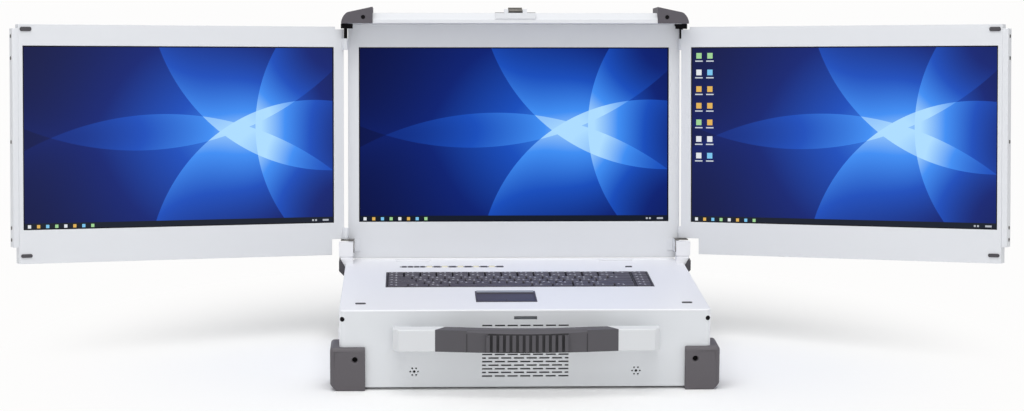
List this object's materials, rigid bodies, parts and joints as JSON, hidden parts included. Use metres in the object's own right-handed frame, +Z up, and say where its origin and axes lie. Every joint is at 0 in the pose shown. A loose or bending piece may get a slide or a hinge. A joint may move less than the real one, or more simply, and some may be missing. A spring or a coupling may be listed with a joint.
{
  "type": "multi-screen portable computer",
  "caption": "Rugged portable computer: a hinged lid with a main screen, side screens on upright pivots, keyboard deck, carrying handle and vented case.",
  "frame": {"origin": "centre of the outer face of the removable base cover", "axes": "+X to the user's right, +Y to the back, +Z up"},
  "size_m": [1.1677, 0.415, 0.403],
  "materials": {
    "case_paint": "fine satin powder coat",
    "lid_aluminium": "painted matt silver-grey",
    "lid_plastic": "matt silver-grey",
    "bare_aluminium": "mill finish",
    "bare_steel": "brushed",
    "dark_metal": "blackened",
    "latch_metal": "satin",
    "bumper_rubber": "matt",
    "guard_rubber": "matt",
    "cap_rubber": "matt",
    "grip_rubber": "matt, ribbed",
    "black_plastic": "matt",
    "key_plastic": "fine matt",
    "grey_plastic": "matt",
    "board_green": "solder mask",
    "light_cream": "gloss",
    "screen_panel": "satin film over a lit picture"
  },
  "bodies": {
    "case": {"base_cover": "case_paint", "board_carrier": "bare_aluminium", "bumpers_front": "bumper_rubber", "bumpers_rear": "bumper_rubber", "cable_covers": "case_paint", "case_tray": "case_paint", "deck_pads": "guard_rubber", "deck_plate": "case_paint", "drive_door": "case_paint", "dust_filter": "black_plastic", "fan_frame": "black_plastic", "front_panel": "case_paint", "handle_brackets": "case_paint", "handle_grip": "grip_rubber", "heatsink": "bare_aluminium", "hinge_lugs": "case_paint", "keyboard_frame": "key_plastic", "latch_keeper": "dark_metal", "mainboard": "board_green", "power_supply": "bare_steel", "rear_connectors": "black_plastic", "rear_corner_guards": "guard_rubber", "speakers": "black_plastic", "status_lights": "light_cream", "status_windows": "black_plastic", "storage_drive": "bare_aluminium", "touchpad_frame": "grey_plastic", "touchpad_surface": "key_plastic"},
    "lid": {"lid_shell": "lid_aluminium", "main_bezel": "lid_aluminium", "main_screen": "screen_panel", "lid_driver_board": "board_green", "lid_corner_caps": "cap_rubber", "lid_hinge_brackets": "dark_metal", "lid_hinge_pins": "bare_steel", "wing_top_brackets": "dark_metal", "wing_pivot_pins": "bare_steel", "latch_base": "latch_metal"},
    "wing_left": {"wing_left_shell": "lid_aluminium", "wing_left_bezel": "lid_aluminium", "wing_left_screen": "screen_panel", "wing_left_side_cover": "lid_plastic", "wing_left_pads": "guard_rubber", "wing_left_knuckles": "dark_metal"},
    "wing_right": {"wing_right_shell": "lid_aluminium", "wing_right_bezel": "lid_aluminium", "wing_right_screen": "screen_panel", "wing_right_side_cover": "lid_plastic", "wing_right_pads": "guard_rubber", "wing_right_knuckles": "dark_metal"},
    "latch": {"latch_lever": "latch_metal"},
    "keys_function": {"keys_function_row": "key_plastic"},
    "keys_main": {"keys_main_block": "key_plastic"},
    "keys_space": {"keys_space_row": "key_plastic"},
    "keys_side": {"keys_side_column": "key_plastic"},
    "touch_button_left": {"touchpad_button_left": "grey_plastic"},
    "touch_button_right": {"touchpad_button_right": "grey_plastic"},
    "power_button": {"power_button": "grey_plastic"},
    "fan_rotor": {"fan_rotor": "black_plastic"}
  },
  "joints": [
    {"name": "lid_hinge", "type": "hinge", "parent": "case", "child": "lid", "pos_m": [0, 0.13363, 0.1062], "axis": [1, 0, 0], "range_deg": [0, 96.29]},
    {"name": "wing_left_hinge", "type": "hinge", "parent": "lid", "child": "wing_left", "pos_m": [-0.2068, 0.15675, 0.24359], "axis": [0, 0.1096, 0.994], "range_deg": [-21.08, 158.92]},
    {"name": "wing_right_hinge", "type": "hinge", "parent": "lid", "child": "wing_right", "pos_m": [0.2057, 0.16656, 0.24251], "axis": [0, -0.1096, -0.994], "range_deg": [-27.44, 152.56]},
    {"name": "latch_hinge", "type": "hinge", "parent": "lid", "child": "latch", "pos_m": [0, 0.15232, 0.3962], "axis": [1, 0, 0], "range_deg": [0, 180]},
    {"name": "keys_function_press", "type": "slide", "parent": "case", "child": "keys_function", "axis": [0, 0, -1], "range_m": [0, 0.0016], "stiffness_N_per_m": 1500, "springref_m": -0.0005},
    {"name": "keys_main_press", "type": "slide", "parent": "case", "child": "keys_main", "axis": [0, 0, -1], "range_m": [0, 0.0016], "stiffness_N_per_m": 6000, "springref_m": -0.0005},
    {"name": "keys_space_press", "type": "slide", "parent": "case", "child": "keys_space", "axis": [0, 0, -1], "range_m": [0, 0.0016], "stiffness_N_per_m": 1500, "springref_m": -0.0005},
    {"name": "keys_side_press", "type": "slide", "parent": "case", "child": "keys_side", "axis": [0, 0, -1], "range_m": [0, 0.0016], "stiffness_N_per_m": 800, "springref_m": -0.0005},
    {"name": "touch_button_left_press", "type": "slide", "parent": "case", "child": "touch_button_left", "axis": [0, 0, -1], "range_m": [0, 0.0008], "stiffness_N_per_m": 800, "springref_m": -0.0004},
    {"name": "touch_button_right_press", "type": "slide", "parent": "case", "child": "touch_button_right", "axis": [0, 0, -1], "range_m": [0, 0.0008], "stiffness_N_per_m": 800, "springref_m": -0.0004},
    {"name": "power_button_press", "type": "slide", "parent": "case", "child": "power_button", "axis": [0, 0, -1], "range_m": [0, 0.0008], "stiffness_N_per_m": 800, "springref_m": -0.0004},
    {"name": "fan_spin", "type": "hinge", "parent": "case", "child": "fan_rotor", "pos_m": [0.035, 0.141, 0.044], "axis": [0, 1, 0], "continuous": true}
  ]
}
